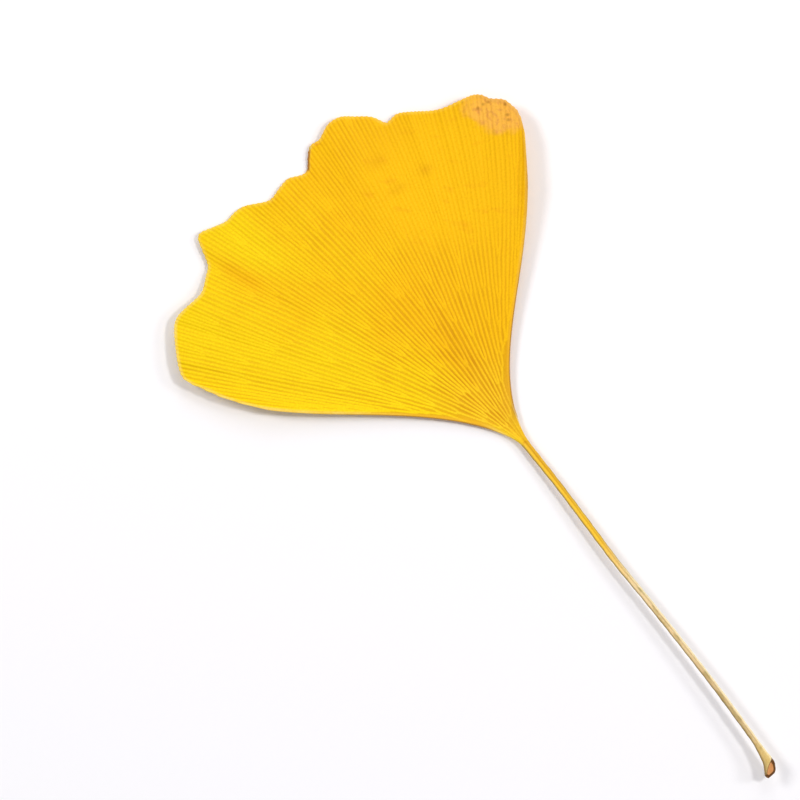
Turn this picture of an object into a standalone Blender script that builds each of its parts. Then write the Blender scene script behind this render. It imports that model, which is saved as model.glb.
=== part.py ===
"""A dried ginkgo leaf that lies on a flat surface: one fan blade, which runs down into its stalk.

The blade is a sheet whose rows of points fork in two as the veins do, so a ridge of the narrow base
becomes two, four, eight and at last sixty-four ridges at the outer margin. The stalk is a grooved
rod along a curve, sunk into the base of the blade. The frame: origin on the flat spot that the leaf
rests on, below its centre of mass, +Y from the stalk to the outer margin, +Z up, in metres.
"""

import math

import bmesh
import bpy
import numpy as np

MM = 0.001

# All sizes are in millimetres, from the junction where the stalk enters the blade
BLADE_THICKNESS = 0.8
BASE_WIDTH = 0.9
# The place that rests on the surface
REST_X, REST_Y = -2.8, 38.5

# The fan opens between these two directions, in degrees from +Y, clockwise seen from above
LEFT_ANGLE = -45.3
RIGHT_ANGLE = 38.9
# Veins lie closer together beside the two straight sides, by this share
SIDE_BUNCHING = 0.4

# The outer margin as (direction in degrees, distance from the junction in millimetres)
OUTER_MARGIN = (
    # left corner, where the outermost veins run out on the side
    (LEFT_ANGLE, 46.5), (-44.8, 50.0), (-44.0, 54.7), (-43.0, 58.6), (-41.8, 62.2),
    # first lobe
    (-40.1, 63.6), (-37.8, 64.7), (-34.2, 66.3), (-32.5, 66.6), (-31.0, 66.1),
    # scoop under the second lobe
    (-28.6, 64.8), (-26.8, 64.2), (-24.5, 64.8), (-22.7, 65.5),
    # second lobe, with a sharp left shoulder
    (-20.9, 68.1), (-20.0, 69.4), (-19.0, 69.6), (-17.2, 68.2), (-15.4, 67.0),
    # two small scallops
    (-13.6, 66.8), (-11.8, 66.1), (-9.2, 63.9), (-7.8, 63.4), (-5.7, 63.8), (-3.8, 63.9),
    # notch, then the rise to the top lobe
    (-1.7, 62.8), (-0.5, 63.0), (0.8, 64.7), (2.1, 66.0), (3.8, 66.0), (5.0, 66.7),
    (6.4, 67.5), (8.4, 67.5), (10.5, 66.3), (12.8, 64.9),
    # small notch and the long, nearly straight run to the right
    (14.4, 63.0), (15.2, 63.0), (16.9, 63.6), (19.6, 62.9), (22.1, 62.2), (24.4, 62.1),
    # last lobe and the right corner
    (27.0, 62.7), (29.4, 63.3), (30.9, 63.1), (32.2, 62.3), (34.4, 61.9), (35.7, 60.8),
    (36.9, 59.5), (37.8, 56.9), (38.4, 52.8), (RIGHT_ANGLE, 47.0),
)

# Each straight side bows inwards by BOW * t^RISE * (1 - t)^FALL of its length, t running from 0 to 1
LEFT_BOW, LEFT_RISE, LEFT_FALL = 0.257, 0.79, 1.84
RIGHT_BOW, RIGHT_RISE, RIGHT_FALL = 0.489, 0.92, 2.42

# The forks as (columns, share of the way to the margin where they start, rows of points)
FORKS = ((4, 0.0, 3), (8, 0.07, 2), (16, 0.12, 2), (32, 0.2, 3), (64, 0.32, 4), (128, 0.5, 11))
# A ridge rises by this share of the distance to the next valley, up to a highest value in millimetres
RIDGE_SLOPE = 0.24
RIDGE_HEIGHT = 0.14

# How the dried blade curls, as heights; each CURL is the power with which its lift grows
BASE_LIFT = 1.25
LEFT_SIDE_LIFT = 3.6
RIGHT_SIDE_LIFT = 4.0
SIDE_CURL = 2.2
SIDE_CURL_ALONG = 0.9
TIP_LIFT = 1.1
TIP_CURL = 4.0
# Waves and radial folds grow from the junction to the margin, with this power of the way
WAVE_CURL = 3.0
WAVE_HEIGHT = 0.32
WAVES_PER_DEGREE = 11.0 / 360.0
WAVE_START = 40.0 / 360.0
# (direction in degrees, half width in degrees, height at the margin)
FOLDS = ((-23.5, 3.2, -0.55), (-0.8, 3.5, -0.45), (14.6, 3.0, -0.4), (-33.0, 6.0, 0.3), (8.0, 5.0, 0.3))

# How deep the underside is planed flat where it rests, and the block that does so
REST_DEPTH = 0.2
CUTTER_SIDE = 60.0
CUTTER_DEPTH = 5.0

# The stalk as (Y, X, height of its middle, half width)
STALK = (
    (9.0, 0.2, 1.05, 0.30),
    (5.0, 0.0, 1.28, 0.46),
    (1.5, 0.0, 1.52, 0.62),
    (-3.0, 0.05, 1.74, 0.62),
    (-10.0, 0.12, 2.02, 0.58),
    (-18.0, -0.05, 2.32, 0.54),
    (-27.0, -0.28, 2.66, 0.51),
    (-36.0, -0.05, 3.02, 0.49),
    (-47.0, 0.0, 3.50, 0.48),
    (-56.0, -0.1, 3.92, 0.48),
    (-63.0, -0.25, 4.25, 0.49),
    (-68.0, -0.6, 4.46, 0.53),
    (-71.4, -1.0, 4.56, 0.62),
    (-73.3, -1.45, 4.58, 0.80),
    (-74.8, -1.95, 4.55, 0.78),
)
STALK_STEPS = 3
STALK_SIDES = 16
WELD_DISTANCE = 0.01
# The groove along its upper side: depth as a share of the half width, and how wide it is in degrees
GROOVE_DEPTH = 0.5
GROOVE_HALF_ANGLE = 26.0

# Edges that turn more sharply than this, in degrees, are shaded as edges
SHARP_ANGLE = 50.0


def in_frame(x, y, z):
    """A point measured from the junction, in millimetres, as a place in the part's frame, in metres."""
    return (x - REST_X) * MM, (y - REST_Y) * MM, z * MM


def smooth_through(points, per_span):
    """Points along a Catmull-Rom curve through the given ones, with per_span steps between each two."""
    keys = np.array(points, float)
    padded = np.vstack([2 * keys[0] - keys[1], keys, 2 * keys[-1] - keys[-2]])
    found = []
    for i in range(1, len(padded) - 2):
        before, start, end, after = padded[i - 1 : i + 3]
        for step in range(per_span):
            t = step / per_span
            found.append(
                0.5 * (
                    2 * start
                    + (end - before) * t
                    + (2 * before - 5 * start + 4 * end - after) * t**2
                    + (3 * start - before - 3 * end + after) * t**3
                )
            )
    found.append(keys[-1])
    return np.array(found)


def margin_distance(direction):
    """Distance from the junction to the outer margin in these directions, with rounded lobes."""
    fine = smooth_through(OUTER_MARGIN, 8)
    return np.interp(direction, np.maximum.accumulate(fine[:, 0]), fine[:, 1])


def vein_direction(across):
    """Direction in degrees of the vein at each share of the way across the fan."""
    eased = across - SIDE_BUNCHING / (2 * math.pi) * np.sin(2 * math.pi * across)
    return LEFT_ANGLE + (RIGHT_ANGLE - LEFT_ANGLE) * eased


def blade_plan(across, along):
    """X and Y of the blade's points in plan, from the junction, in millimetres."""
    angle = np.radians(vein_direction(across))
    reach = margin_distance(vein_direction(across))
    start_x = BASE_WIDTH * (across - 0.5)
    chord_x, chord_y = reach * np.sin(angle) - start_x, reach * np.cos(angle)
    left = LEFT_BOW * along**LEFT_RISE * (1 - along) ** LEFT_FALL
    right = RIGHT_BOW * along**RIGHT_RISE * (1 - along) ** RIGHT_FALL
    bow = (1 - across) * left - across * right
    return start_x + chord_x * along + chord_y * bow, chord_y * along - chord_x * bow


def blade_height(across, along):
    """Height of the blade's underside over the surface, in millimetres, before the ridges are raised."""
    direction = vein_direction(across)
    side = 2 * (direction - LEFT_ANGLE) / (RIGHT_ANGLE - LEFT_ANGLE) - 1
    side_lift = np.where(side < 0, LEFT_SIDE_LIFT, RIGHT_SIDE_LIFT)
    height = BASE_LIFT * (1 - along) ** 2 + TIP_LIFT * along**TIP_CURL
    height = height + side_lift * np.abs(side) ** SIDE_CURL * along**SIDE_CURL_ALONG
    wave = WAVE_HEIGHT * np.sin(2 * math.pi * (direction * WAVES_PER_DEGREE + WAVE_START))
    for centre, half_width, lift in FOLDS:
        wave = wave + lift * np.exp(-(((direction - centre) / half_width) ** 2))
    return height + wave * along**WAVE_CURL


def row_shares():
    """Each row of the blade as (columns, share of the way to the margin)."""
    rows = []
    for i, (columns, start, count) in enumerate(FORKS):
        end = FORKS[i + 1][1] if i + 1 < len(FORKS) else 1.0
        last = i + 1 == len(FORKS)
        rows += [(columns, start + (end - start) * k / (count - last)) for k in range(count)]
    return rows


def add_row(sheet, columns, along, ground):
    """One row of points across the blade; every second one stands on a ridge."""
    across = np.linspace(0.0, 1.0, columns + 1)
    x, y = blade_plan(across, along)
    z = blade_height(across, along) - ground
    spacing = np.hypot(np.diff(x), np.diff(y))
    z[1::2] += np.minimum(RIDGE_HEIGHT, RIDGE_SLOPE * np.minimum(spacing[::2], spacing[1::2]))
    return [sheet.verts.new(in_frame(a, b, c)) for a, b, c in zip(x, y, z)]


def join_rows(sheet, inner, outer):
    """Triangles between two rows, where the outer one has as many columns or twice as many."""
    forks = len(outer) > len(inner)
    for i in range(len(inner) - 1):
        a, b = inner[i], inner[i + 1]
        if forks:
            left, middle, right = outer[2 * i : 2 * i + 3]
            corners = ((a, middle, left), (a, b, middle), (b, right, middle))
        else:
            left, right = outer[i : i + 2]
            corners = ((a, right, left), (a, b, right)) if i % 2 else ((a, b, left), (b, right, left))
        for triangle in corners:
            sheet.faces.new(triangle)


def lowest_height():
    """The lowest height that the curl gives, by which the blade is let down onto the surface."""
    rows = [blade_height(np.linspace(0.0, 1.0, columns + 1), along) for columns, along in row_shares()]
    return min(float(row.min()) for row in rows)


def make_blade(collection, ground):
    """The fan as a sheet of triangles, thickened upwards so that both faces are split alike."""
    sheet = bmesh.new()
    inner = None
    for columns, along in row_shares():
        outer = add_row(sheet, columns, along, ground)
        if inner:
            join_rows(sheet, inner, outer)
        inner = outer
    mesh = bpy.data.meshes.new("blade_sheet")
    sheet.to_mesh(mesh)
    sheet.free()
    blade = bpy.data.objects.new("ginkgo_leaf", mesh)
    collection.objects.link(blade)
    thickness = blade.modifiers.new("Thickness", "SOLIDIFY")
    thickness.thickness = BLADE_THICKNESS * MM
    thickness.offset = 1.0
    return blade


def make_stalk_profile(helpers):
    """The stalk's round section of radius 1, with a groove along its upper side."""
    outline = bpy.data.curves.new("stalk_profile", "CURVE")
    outline.dimensions = "2D"
    spline = outline.splines.new("POLY")
    spline.points.add(STALK_SIDES - 1)
    for i, point in enumerate(spline.points):
        angle = 2 * math.pi * i / STALK_SIDES
        from_top = math.degrees(abs(math.remainder(angle - math.pi / 2, 2 * math.pi)))
        radius = (1.0 - GROOVE_DEPTH * math.exp(-((from_top / GROOVE_HALF_ANGLE) ** 2))) * MM
        point.co = (radius * math.cos(angle), radius * math.sin(angle), 0.0, 1.0)
    spline.use_cyclic_u = True
    profile = bpy.data.objects.new("stalk_profile", outline)
    helpers.objects.link(profile)
    return profile


def make_stalk(helpers, profile, ground):
    """The stalk as a closed mesh: a curve that carries the grooved section, with welded end caps."""
    path = bpy.data.curves.new("stalk_path", "CURVE")
    path.dimensions = "3D"
    path.twist_mode = "Z_UP"
    path.bevel_mode = "OBJECT"
    path.bevel_object = profile
    path.use_fill_caps = True
    spline = path.splines.new("POLY")
    stations = smooth_through(STALK, STALK_STEPS)
    spline.points.add(len(stations) - 1)
    for point, (y, x, z, half_width) in zip(spline.points, stations):
        point.co = (*in_frame(x, y, z - ground), 1.0)
        point.radius = half_width
    curve = bpy.data.objects.new("stalk_path", path)
    helpers.objects.link(curve)
    bpy.context.view_layer.update()
    evaluated = curve.evaluated_get(bpy.context.evaluated_depsgraph_get())
    mesh = bpy.data.meshes.new_from_object(evaluated)
    welded = bmesh.new()
    welded.from_mesh(mesh)
    bmesh.ops.remove_doubles(welded, verts=welded.verts, dist=WELD_DISTANCE * MM)
    bmesh.ops.recalc_face_normals(welded, faces=welded.faces)
    welded.to_mesh(mesh)
    welded.free()
    stalk = bpy.data.objects.new("stalk", mesh)
    stalk.matrix_world = curve.matrix_world
    helpers.objects.link(stalk)
    bpy.data.objects.remove(curve)
    return stalk


def make_surface_cutter(helpers):
    """A block under the surface, which planes the underside flat where the leaf rests."""
    bpy.ops.mesh.primitive_cube_add(size=1.0, location=(0.0, 0.0, -CUTTER_DEPTH / 2 * MM))
    block = bpy.context.object
    block.name = "surface_cutter"
    block.scale = (CUTTER_SIDE * MM, CUTTER_SIDE * MM, CUTTER_DEPTH * MM)
    for owner in list(block.users_collection):
        owner.objects.unlink(block)
    helpers.objects.link(block)
    return block


def add_boolean(target, other, operation):
    """A Boolean that joins or cuts, whose other object is a hidden helper."""
    other.hide_render = True
    other.display_type = "WIRE"
    modifier = target.modifiers.new(other.name, "BOOLEAN")
    modifier.object = other
    modifier.operation = operation
    modifier.solver = "EXACT"


def apply_modifiers(leaf, helpers):
    """Keep the thickened, joined and planed shape as the leaf's own mesh, and drop the helpers."""
    bpy.context.view_layer.update()
    evaluated = leaf.evaluated_get(bpy.context.evaluated_depsgraph_get())
    mesh = bpy.data.meshes.new_from_object(evaluated)
    leaf.modifiers.clear()
    leaf.data = mesh
    mesh.name = leaf.name
    mesh.shade_smooth()
    mesh.set_sharp_from_angle(angle=math.radians(SHARP_ANGLE))
    for helper in list(helpers.objects):
        bpy.data.objects.remove(helper)


def make_leaf_material():
    material = bpy.data.materials.new("dried_leaf")
    material.use_nodes = True
    shader = material.node_tree.nodes["Principled BSDF"]
    shader.inputs["Base Color"].default_value = (0.93, 0.56, 0.02, 1.0)
    shader.inputs["Roughness"].default_value = 0.6
    shader.inputs["Metallic"].default_value = 0.0
    return material


def new_collection(name):
    collection = bpy.data.collections.new(name)
    bpy.context.scene.collection.children.link(collection)
    return collection


def main():
    for old in list(bpy.data.objects):
        bpy.data.objects.remove(old)
    parts = new_collection("ginkgo leaf")
    helpers = new_collection("helpers")
    ground = lowest_height() + REST_DEPTH
    leaf = make_blade(parts, ground)
    profile = make_stalk_profile(helpers)
    stalk = make_stalk(helpers, profile, ground)
    add_boolean(leaf, stalk, "UNION")
    add_boolean(leaf, make_surface_cutter(helpers), "DIFFERENCE")
    apply_modifiers(leaf, helpers)
    leaf.data.materials.append(make_leaf_material())


main()
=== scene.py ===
"""The dried ginkgo leaf as it looks: a thin blade with forking veins that runs down into its grooved stalk.

The shape repeats the solid leaf's rules (fan, outer margin, curl, stalk) on a fine mesh. Every point
of the mesh lies on a closed ring round the leaf: from the scar up the stalk, over the junction and
out to the outer margin, where the rings are flat and wide. The veins are lines that fork as the
fan opens, and a node tree raises the blade along them.
"""

import math

import bmesh
import bpy
import numpy as np
from bpy.props import FloatProperty, FloatVectorProperty, IntProperty, PointerProperty
from mathutils import Matrix, Vector


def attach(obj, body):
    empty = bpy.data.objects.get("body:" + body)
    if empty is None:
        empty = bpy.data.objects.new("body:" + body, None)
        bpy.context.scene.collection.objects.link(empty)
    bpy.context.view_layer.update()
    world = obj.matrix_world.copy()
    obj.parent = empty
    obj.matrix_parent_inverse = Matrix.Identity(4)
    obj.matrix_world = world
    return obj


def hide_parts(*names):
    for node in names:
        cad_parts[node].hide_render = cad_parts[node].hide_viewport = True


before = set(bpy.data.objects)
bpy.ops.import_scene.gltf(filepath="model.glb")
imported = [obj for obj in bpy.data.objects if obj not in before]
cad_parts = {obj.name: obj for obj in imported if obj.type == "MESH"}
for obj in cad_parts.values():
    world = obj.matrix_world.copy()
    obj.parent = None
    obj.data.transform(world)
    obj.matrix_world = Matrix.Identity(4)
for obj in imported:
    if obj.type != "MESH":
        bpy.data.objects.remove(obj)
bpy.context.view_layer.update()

bl_info = {
    "name": "Dried ginkgo leaf",
    "version": (1, 0, 0),
    "blender": (4, 5, 0),
    "location": "View3D > Sidebar > Leaf",
    "description": "Grows one dried ginkgo leaf over its solid model and lights it on a pale floor",
    "category": "Object",
}

NODE = "ginkgo_leaf"
LEAF = "ginkgo_leaf_grown"
MM = 0.001

# The leaf's form, in millimetres and degrees from the junction of stalk and blade, as in the solid leaf
REST_X, REST_Y = -2.8, 38.5
LEFT_ANGLE = -44.7
RIGHT_ANGLE = 38.6
SIDE_BUNCHING = 0.4

# The outer margin as (direction from +Y, clockwise seen from above, distance from the junction)
OUTER_MARGIN = (
    (LEFT_ANGLE, 46.5), (-44.25, 50.1), (-43.5, 54.8), (-42.5, 58.7), (-41.5, 62.2),
    (-40.0, 63.6), (-37.8, 64.7), (-34.2, 66.3), (-32.5, 66.6), (-31.0, 66.1),
    (-28.6, 64.8), (-26.8, 64.2), (-24.5, 64.8), (-22.7, 65.5),
    (-20.9, 68.1), (-20.0, 69.4), (-19.0, 69.6), (-17.2, 68.2), (-15.4, 67.0),
    (-13.6, 66.8), (-11.8, 66.1), (-9.2, 63.9), (-7.8, 63.4), (-5.7, 63.8), (-3.8, 63.9),
    (-1.7, 62.8), (-0.5, 63.0), (0.8, 64.7), (2.1, 66.0), (3.8, 66.0), (5.0, 66.7),
    (6.4, 67.5), (8.4, 67.5), (10.5, 66.3), (12.8, 64.9),
    (14.4, 63.0), (15.2, 63.0), (16.9, 63.6), (19.6, 62.9), (22.1, 62.2), (24.4, 62.1),
    (27.0, 62.7), (29.4, 63.3), (30.9, 63.1), (32.2, 62.3), (34.4, 61.9), (35.7, 60.8),
    (36.8, 59.5), (37.65, 56.9), (38.15, 52.8), (RIGHT_ANGLE, 47.0),
)

LEFT_BOW, LEFT_RISE, LEFT_FALL = 0.288, 0.79, 1.84
RIGHT_BOW, RIGHT_RISE, RIGHT_FALL = 0.475, 0.92, 2.25

BASE_LIFT = 1.25
LEFT_SIDE_LIFT = 3.6
RIGHT_SIDE_LIFT = 4.0
SIDE_CURL = 2.2
SIDE_CURL_ALONG = 0.9
TIP_LIFT = 1.1
TIP_CURL = 4.0
WAVE_CURL = 3.0
WAVE_HEIGHT = 0.32
WAVES_PER_DEGREE = 11.0 / 360.0
WAVE_START = 40.0 / 360.0
# (direction, half width, height at the margin)
FOLDS = ((-23.5, 3.2, -0.55), (-0.8, 3.5, -0.45), (14.6, 3.0, -0.4), (-33.0, 6.0, 0.3), (8.0, 5.0, 0.3))
REST_DEPTH = 0.2
# How softly the blade is pressed flat where it rests, in square millimetres
REST_SOFTNESS = 0.02

# The stalk as (Y, X, height of its middle, half width), from the junction to the scar. Its middle stands
# up to half a millimetre higher than in the solid leaf, so that its shadow lies clear of it.
STALK = (
    (1.5, 0.0, 1.78, 0.80),
    (0.0, 0.0, 1.86, 0.76),
    (-3.0, 0.03, 2.07, 0.69),
    (-10.0, 0.08, 2.51, 0.64),
    (-18.0, -0.08, 2.84, 0.64),
    (-27.0, -0.25, 3.17, 0.62),
    (-36.0, -0.06, 3.48, 0.59),
    (-47.0, 0.03, 3.84, 0.57),
    (-56.0, -0.02, 4.12, 0.57),
    (-63.0, -0.21, 4.34, 0.58),
    (-68.0, -0.42, 4.46, 0.59),
    (-71.4, -0.87, 4.56, 0.85),
    (-73.3, -1.43, 4.58, 1.18),
)
STALK_LENGTH = 75.0
STALK_RING_SPACING = 0.55
GROOVE_DEPTH = 0.5
GROOVE_HALF_WIDTH = 0.145
# How much the stalk's width varies, as (share of it, radians a millimetre, phase)
STALK_WOBBLE = ((0.035, 1.7, 0.0), (0.025, 4.1, 1.0))
# Depth of its underside and least height at its sides, as shares of its half width
STALK_UNDERSIDE = 0.95
LEAST_HEIGHT = 0.02
# How far it counts as lying from the side margins and from the outer margin, in millimetres
STALK_GAPS = (5.0, 50.0)

# The rings: columns on each face, and the share of the way to the margin from which they are so many
COLUMNS = ((24, 0.0), (48, 0.02), (96, 0.045), (192, 0.1), (384, 0.22), (768, 0.48))
# Steps between rings as (share of the way up to which it holds, step)
RING_STEPS = ((0.1, 0.007), (0.48, 0.013), (0.985, 0.0155))
LAST_RINGS = (0.985, 0.992, 0.9965, 0.999, 1.0)

# Rounded margins: over this width the blade thins to this share of its thickness
MARGIN_ROUNDING = 0.3
MARGIN_THINNING = 0.25
# Where the stalk's round section dies away in the blade, as shares of the way to the margin
RIDGE_RUN_OUT = 0.055
KEEL_RUN_OUT = 0.075
KEEL_NARROWING = 45.0
RUN_OUT_POWER = 1.3
# Steps by which slopes of the margins are measured, as shares of the way to the margin
SIDE_STEP = 0.01
OUTER_STEP = 0.03

# Faint radial creases of the dried sheet as (cycles across, height, phase)
CREASES = ((9.0, 0.10, 0.3), (17.0, 0.07, 2.1), (31.0, 0.045, 4.0), (53.0, 0.02, 1.2))

# How the veins near a side margin bend away from it: angle, and share of the fan that bends
LEFT_BEND = (math.radians(7.0), 0.3)
RIGHT_BEND = (math.radians(6.0), 0.42)
# Where the bend sets in and where it eases off, with the run that each takes, as shares of the way to
# the margin, and how much of it eases off
BEND_START, BEND_RISE = 0.1, 0.15
BEND_END, BEND_FALL = 0.75, 0.25
BEND_EASING = 0.85
# Where the first veins start, as shares of the fan
FIRST_VEINS = (0.25, 0.75)
# Width of blade beside a side margin, times that at which a vein forks, in which a new vein leaves it,
# and the share of the fan at which that vein starts
MARGIN_STRIP = 1.25
MARGIN_START = 0.002
# Steps in which the veins grow, how quickly they even out their distances in a step, and the
# length that each vein grows before it can fork again, as shares of the way to the margin
VEIN_STEP = 0.008
EVENING = 0.28
LEAST_RUN = 0.03
# The served width at which a vein forks: times the vein spacing, and how much less at the left end of
# the outer margin
FORK_WIDTH = 1.05
FORK_NARROWING = 0.14
# Share of that which is gone at its right end
NARROWING_GONE = 0.9
# How much less it is at the base, and how far out that reaches
BASE_CROWDING = 0.22
CROWDED_TO = 0.3
# Least and most that a vein's own width at which it forks differs from that, and half the distance
# between two new branches in millimetres
FORK_TOLERANCE = (0.86, 1.14)
FORK_GAP = 0.03
# Share of the fan by which a vein may leave the blade
VEIN_OVERSHOOT = 0.004
# Veins are narrower near the stalk: up to this share of the way, and how narrow at the base
NARROW_TO, NARROWEST = 0.3, 0.58
# Where they rise out of the stalk, as shares of the way to the margin
VEIN_START = (-0.01, 0.03)
RELIEF_SOCKETS = (
    ("Geometry", "INPUT", "Geometry"), ("Vein Lines", "INPUT", "Object"), ("Vein Height", "INPUT", "Float"),
    ("Vein Half Width", "INPUT", "Float"), ("Finish", "INPUT", "Material"),
    ("Geometry", "OUTPUT", "Geometry"),
)

# Painted light and shade of the blade's creases and folds, partly its own lighter and darker colour, as
# (direction, distance from the junction, reach along the veins, reach across them, how much lighter)
SHADES_AND_TONES = (
    (-21.5, 60.0, 6.0, 1.8, -0.55),
    (-15.6, 61.0, 8.0, 3.4, 0.8),
    (-37.9, 61.0, 6.0, 9.0, 0.5),
    (-38.5, 39.0, 9.0, 2.5, 0.6),
    (3.6, 20.7, 7.0, 2.2, -0.6),
    (11.7, 19.9, 6.0, 0.8, 0.7),
    (18.1, 52.4, 1.2, 1.5, -0.8),
    (11.3, 51.2, 0.9, 2.4, -0.8),
    (10.1, 57.3, 1.2, 1.8, -0.6),
    (13.2, 60.0, 6.0, 8.0, -0.35),
    (31.0, 48.6, 9.0, 7.0, -0.3),
    (-41.5, 42.0, 12.0, 3.0, -0.3),
    (-24.0, 14.5, 6.0, 3.0, -0.4),
)

# The scar at the end of the stalk: rings as (share of the width, how far they stand out, shade)
SCAR_RINGS = (
    (0.97, 0.04, 0.3), (0.7, 0.06, 0.34), (0.56, 0.0, 0.75), (0.4, -0.06, 0.9), (0.2, -0.04, 1.0),
)
SCAR_RUN = 5.5
# How far each half of the last ring stands out along the stalk, as (place across it from left to
# right, distance)
SCAR_UPPER = (
    (-1.0, 0.75), (-0.76, 0.7), (-0.5, 0.05), (-0.15, -0.6), (0.35, -1.3), (0.8, -1.75), (1.0, -1.1),
)
SCAR_LOWER = ((-1.0, 0.8), (-0.85, 1.3), (-0.6, 1.55), (0.0, 1.3), (0.55, 1.0), (0.85, 0.4), (1.0, -0.6))
# Shades from which a ring is all face, and from which its left is, and the shade of that left
ALL_FACE, LEFT_FACE, FACE_SHADE = 0.6, 0.32, 0.75
# Where on the way across the dark rim sets in, and the run that it takes
RIM_START, RIM_RISE = 0.6, 0.3
# Shade of the stalk's last ring, and the run in millimetres over which it fades
RIM_SHADE, RIM_FADE = 0.3, 0.6

# Turn of the picture, and its middle in millimetres in the frame
PICTURE_TURN = math.radians(-38.0)
VIEW_CENTRE = (-10.17, -18.55)

# Marks on the blade as (middle in the frame, reach along the picture's sides), in millimetres
CALM_PLACE = ((19.9, 8.2), (19.0, 15.0))
DEAD_PATCHES = (((36.0, 10.9), (6.4, 4.7)), ((33.4, 14.4), (4.0, 3.3)))
DARK_NOTCH = ((3.4, 25.6), (2.4, 2.4))
OLIVE_MARK = ((5.0, 27.3), (0.5, 0.4))
ORANGE_MARK = ((6.4, 27.0), (0.9, 0.4))

# Each light as (its power's name, direction in the picture, elevation in degrees, times the light size)
LIGHTS = (
    ("right_light", (0.95, 0.31), 61.5, 1.0),
    ("left_light", (-0.88, 0.47), 50.5, 2.2),
    ("top_light", (0.1, 0.99), 45.0, 4.5),
    ("right_fill", (0.97, 0.2), 41.0, 1.5),
)
LIGHT_DISTANCE = 1000.0


def srgb(red, green, blue):
    """A colour given in the 0 to 255 steps of a screen, as linear values."""
    steps = [value / 255.0 for value in (red, green, blue)]
    return tuple(v / 12.92 if v <= 0.04045 else ((v + 0.055) / 1.055) ** 2.4 for v in steps)


def colour_property(name, description, red, green, blue):
    return FloatVectorProperty(
        name=name, description=description, default=srgb(red, green, blue), subtype="COLOR", min=0.0, max=1.0
    )


def length_property(name, description, millimetres):
    return FloatProperty(
        name=name, description=description, default=millimetres * MM, unit="LENGTH", min=0.0, precision=5
    )


def power_property(name, description, watts):
    return FloatProperty(name=name, description=description, default=watts, unit="POWER", min=0.0)


class LeafShape(bpy.types.PropertyGroup):
    """Sizes of the thin leaf."""

    thickness: length_property("Blade thickness", "Thickness of the dry blade between its veins", 0.3)
    vein_spacing: length_property("Vein spacing", "Width of blade that one vein serves before it forks", 0.86)
    ridge_height: length_property("Vein height", "How far a vein stands out of each face", 0.09)
    ridge_half_width: length_property("Vein half width", "Half the width of a vein's rounded ridge", 0.26)
    seed: IntProperty(name="Seed", description="Start of the random draw for the forks", default=7, min=0)


class LeafColours(bpy.types.PropertyGroup):
    """Colours of the dry leaf, with the painted highlights and shade of its margins, grooves and stalk."""

    lemon: colour_property("Lemon", "Veins on the left, where the blade is palest", 248, 213, 4)
    amber: colour_property("Amber", "Veins in the middle and on the right", 251, 193, 4)
    crest: colour_property("Crest", "Veins near the stalk", 252, 212, 44)
    # Ochre of the grooves between the veins, also used as painted shade in the grooves and creases
    groove: colour_property("Groove", "Between the veins", 208, 142, 0)
    pale_groove: colour_property("Pale groove", "Between the veins on the left", 226, 176, 2)
    # Paler rolled margin with a painted highlight where it catches the light
    rim: colour_property("Rim", "Rolled margin that catches the light", 254, 220, 108)
    side_band: colour_property("Side band", "Strip beside the side margins", 244, 182, 44)
    # Partly browned edge, partly painted shade of the curled margin's underside
    browned_rim_and_shade: colour_property("Browned rim", "Outermost line of the side margins", 164, 112, 50)
    dead: colour_property("Dead patch", "Dead tissue at the right corner", 250, 185, 71)
    dead_dark: colour_property("Dead patch, darker", "Smudges and rim of the dead patch", 220, 146, 74)
    speck: colour_property("Specks", "Spots on the dead patch", 146, 80, 10)
    smudge: colour_property("Smudges", "Faint flecks on the blade", 232, 152, 12)
    stalk_yellow: colour_property("Yellow stalk", "Half of the stalk next to the blade", 246, 198, 58)
    stalk_pale: colour_property("Pale stalk", "Far half of the stalk", 238, 216, 166)
    # Painted highlight on the stalk's right flank, also beside the stalk on the blade's right margin
    stalk_highlight: colour_property("Lit stalk", "Right flank of the stalk", 253, 238, 190)
    stalk_olive: colour_property("Olive stalk", "Greenish patches on the stalk", 184, 172, 114)
    stalk_tan: colour_property("Tan stalk", "Orange-brown patches on the stalk", 222, 176, 122)
    # Painted shade on the stalk's left flank, also the colour of a darker line at its right edge
    stalk_shade: colour_property("Stalk side", "Left flank of the stalk", 140, 116, 70)
    stalk_gold: colour_property("Golden stalk end", "Last millimetres before the scar", 220, 188, 100)
    scar: colour_property("Scar", "Face of the scar", 238, 164, 100)
    scar_rim: colour_property("Scar rim", "Dark rim of the scar", 100, 64, 38)


class LeafStage(bpy.types.PropertyGroup):
    """Floor, lights and camera."""

    floor_size: length_property("Floor size", "Side of the square floor", 1600.0)
    floor_colour: colour_property("Floor colour", "Plain pale paper", 250, 249, 250)
    view_width: length_property("View width", "Width of floor that the picture shows", 144.3)
    camera_height: length_property("Camera height", "Height of the camera over the floor", 1500.0)
    light_size: length_property("Light size", "Side of the smallest of the square lights", 115.0)
    sky: FloatProperty(
        name="Sky", description="Strength of the even light from all sides", default=0.415, min=0.0
    )
    sky_colour: colour_property("Sky colour", "Tint of the even light, and so of the shadows", 248, 246, 253)
    right_light: power_property("Right light", "Power of the high light on the right", 2.86)
    left_light: power_property("Left light", "Power of the light at the upper left", 3.2)
    top_light: power_property("Top light", "Power of the broad light at the top of the picture", 1.75)
    right_fill: power_property("Right fill", "Power of the low, faint light on the right", 1.25)


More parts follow.
